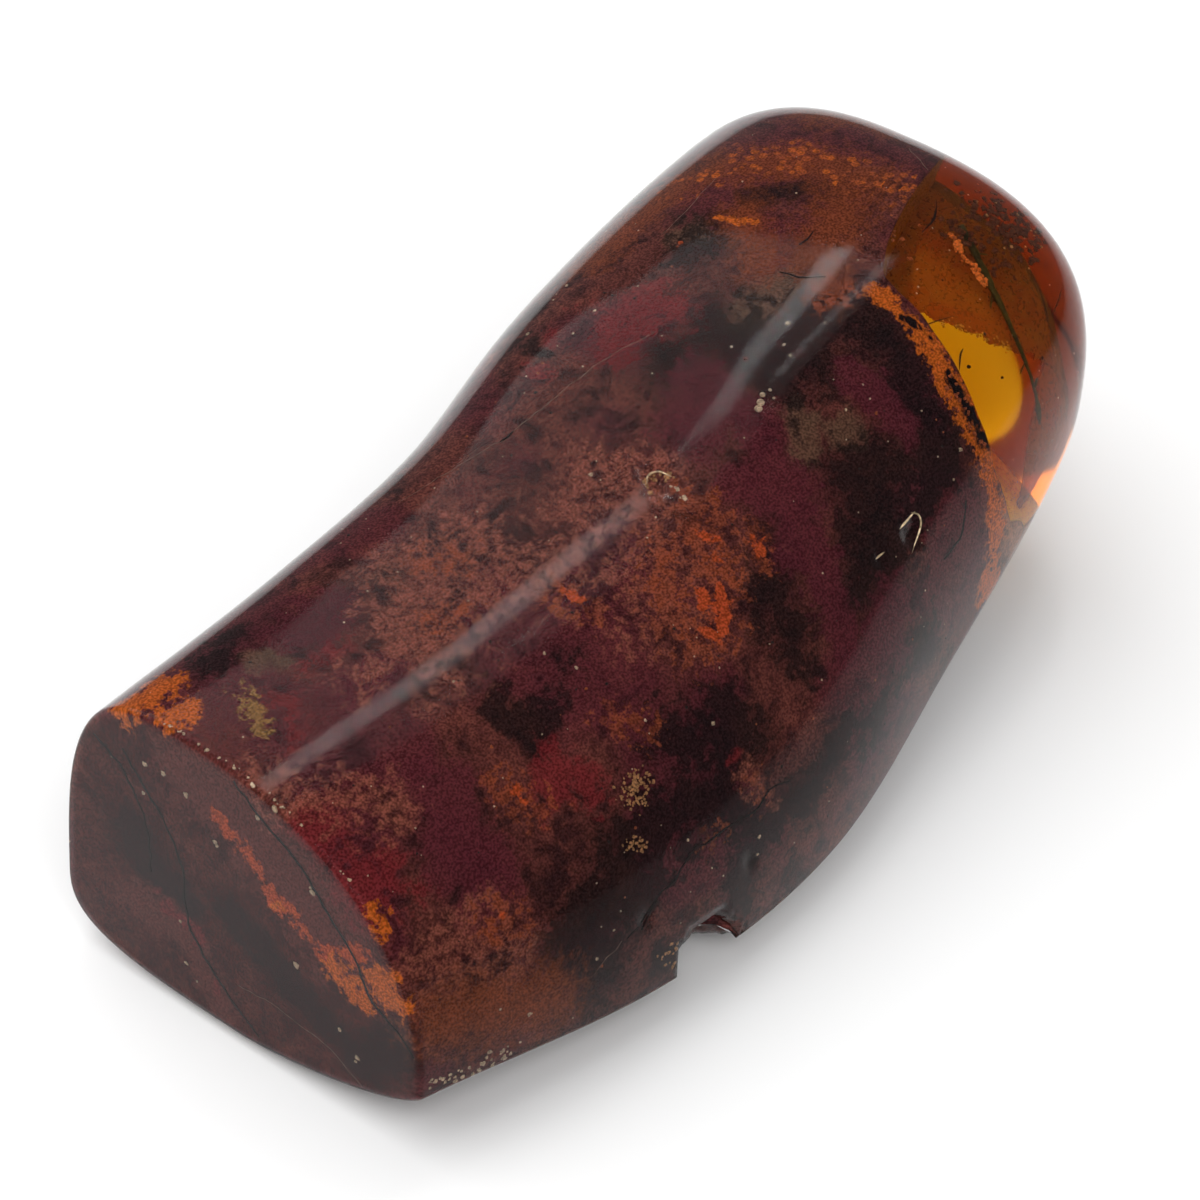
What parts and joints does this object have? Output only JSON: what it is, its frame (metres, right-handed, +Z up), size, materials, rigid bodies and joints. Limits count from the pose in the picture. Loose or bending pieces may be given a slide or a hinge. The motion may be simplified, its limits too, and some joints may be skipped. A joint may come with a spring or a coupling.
{
  "type": "polished amber",
  "caption": "Rounded block of polished dark amber, cut flat at one end and clear honey at the other, with a plant stem sealed in the clear end.",
  "frame": {"origin": "middle of the piece's footprint, on the surface that it rests on", "axes": "+X along the piece from the cut face to the rounded clear end, +Y towards the waisted back, +Z up"},
  "size_m": [0.1004, 0.052, 0.0383],
  "materials": {
    "amber": "polished",
    "stem": "matt"
  },
  "bodies": {
    "root": {"amber_body": "amber", "amber_clear_end": "amber", "plant_stem": "stem"}
  },
  "joints": []
}
